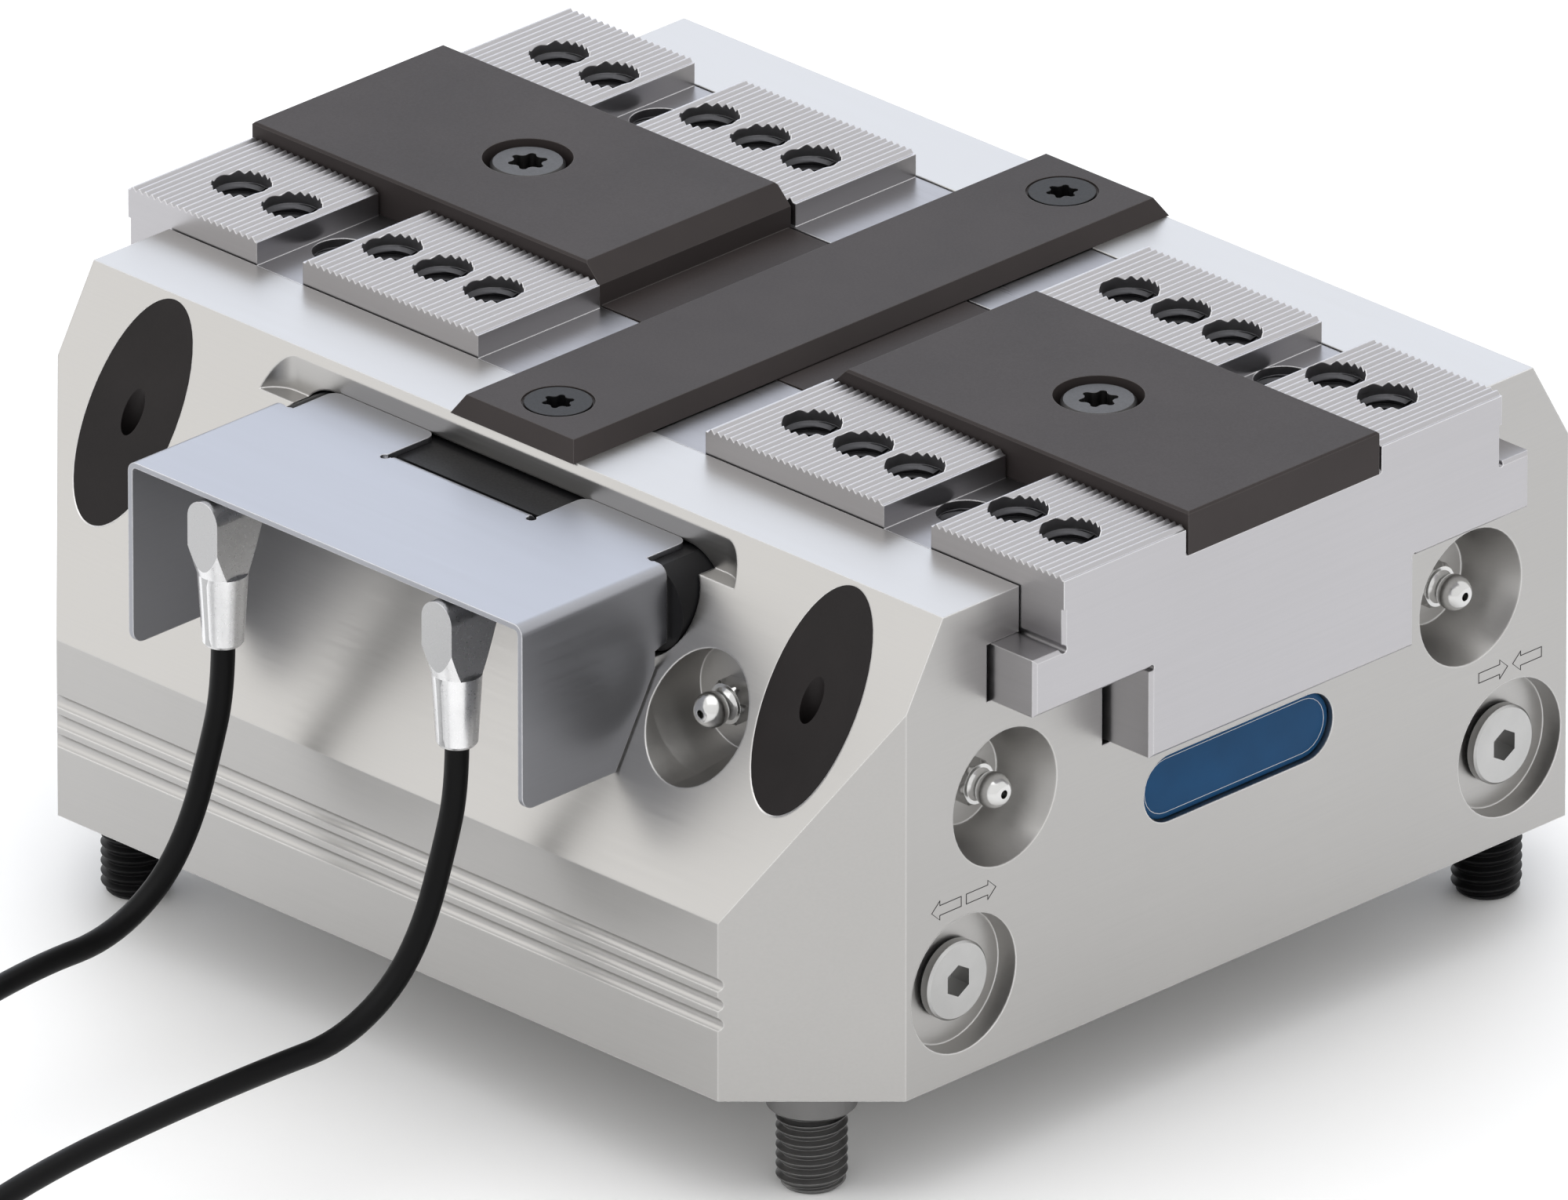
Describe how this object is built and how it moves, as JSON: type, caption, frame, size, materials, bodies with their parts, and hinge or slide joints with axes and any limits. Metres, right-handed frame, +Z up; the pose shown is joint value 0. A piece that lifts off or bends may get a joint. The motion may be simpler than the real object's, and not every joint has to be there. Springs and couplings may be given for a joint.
{
  "type": "pneumatic parallel clamping gripper",
  "caption": "Square two-jaw pneumatic clamping gripper with serrated base jaws, a cover hood, position sensors and leads.",
  "frame": {"origin": "centre of the mounting face, the underside of the housing", "axes": "+X along the jaws' stroke, towards the face with the ports and the name plate; +Z up, away from the mounting face; -Y towards the sensors and the hood"},
  "size_m": [0.2254, 0.435, 0.1129],
  "materials": {
    "housing_steel": "ground and finely brushed, hard coated, warm light grey",
    "jaw_steel": "ground, with bright serrations",
    "black_steel": "black oxide, satin, with slightly brighter edges",
    "screw_steel": "turned, satin grey",
    "black_screw": "black oxide, satin",
    "plug_steel": "turned, fine rings, satin",
    "nipple_steel": "zinc plated",
    "sheet_steel": "bent stainless sheet, fine brushed",
    "silver": "die cast, satin silver",
    "badge_blue": "dark blue satin enamel, plain",
    "black_plastic": "moulded, fine grain",
    "cable_black": "smooth polyurethane jacket, matte",
    "seal_rubber": "matte",
    "guide_brown": "filled PTFE"
  },
  "bodies": {
    "housing_body": {"housing": "housing_steel", "bottom_cover": "housing_steel", "bottom_cover_screws": "screw_steel", "cover_o_ring": "seal_rubber", "rod_seal": "seal_rubber", "bridge_bar": "black_steel", "bridge_screws": "black_screw", "mounting_screws": "black_screw", "centring_sleeves": "screw_steel", "mounting_hole_caps": "black_plastic", "grease_nipples_right": "nipple_steel", "grease_nipples_left": "nipple_steel", "grease_nipple_flank": "nipple_steel", "port_plugs": "plug_steel", "port_seal_rings": "seal_rubber", "badge": "badge_blue", "sensor_insert": "black_plastic", "insert_screws": "black_screw", "hood": "sheet_steel", "hood_screws": "screw_steel", "sensor_left": "silver", "coupling_nut_left": "silver", "sensor_plug_left": "silver", "cable_left": "cable_black", "cable_coil_left": "cable_black", "end_plug_left": "black_plastic", "end_plug_nut_left": "silver", "sensor_right": "silver", "coupling_nut_right": "silver", "sensor_plug_right": "silver", "cable_right": "cable_black", "cable_coil_right": "cable_black", "end_plug_right": "black_plastic", "end_plug_nut_right": "silver"},
    "piston_unit": {"piston": "jaw_steel", "piston_seal": "seal_rubber", "piston_guide_ring": "guide_brown", "wedge_hook": "jaw_steel", "wedge_screw": "black_screw"},
    "jaw_unit_right": {"jaw_right": "jaw_steel", "jaw_cover_right": "black_steel", "jaw_cover_screw_right": "screw_steel"},
    "jaw_unit_left": {"jaw_left": "jaw_steel", "jaw_cover_left": "black_steel", "jaw_cover_screw_left": "screw_steel"}
  },
  "joints": [
    {"name": "piston_slide", "type": "slide", "parent": "housing_body", "child": "piston_unit", "axis": [0, 0, -1], "range_m": [0, 0.015]},
    {"name": "jaw_right_slide", "type": "slide", "parent": "housing_body", "child": "jaw_unit_right", "axis": [-1, 0, 0], "range_m": [0, 0.006]},
    {"name": "jaw_left_slide", "type": "slide", "parent": "housing_body", "child": "jaw_unit_left", "axis": [1, 0, 0], "range_m": [0, 0.006]}
  ],
  "couplings": [
    {"joint": "jaw_right_slide", "follows": "piston_slide", "ratio": 0.4},
    {"joint": "jaw_left_slide", "follows": "piston_slide", "ratio": 0.4}
  ]
}
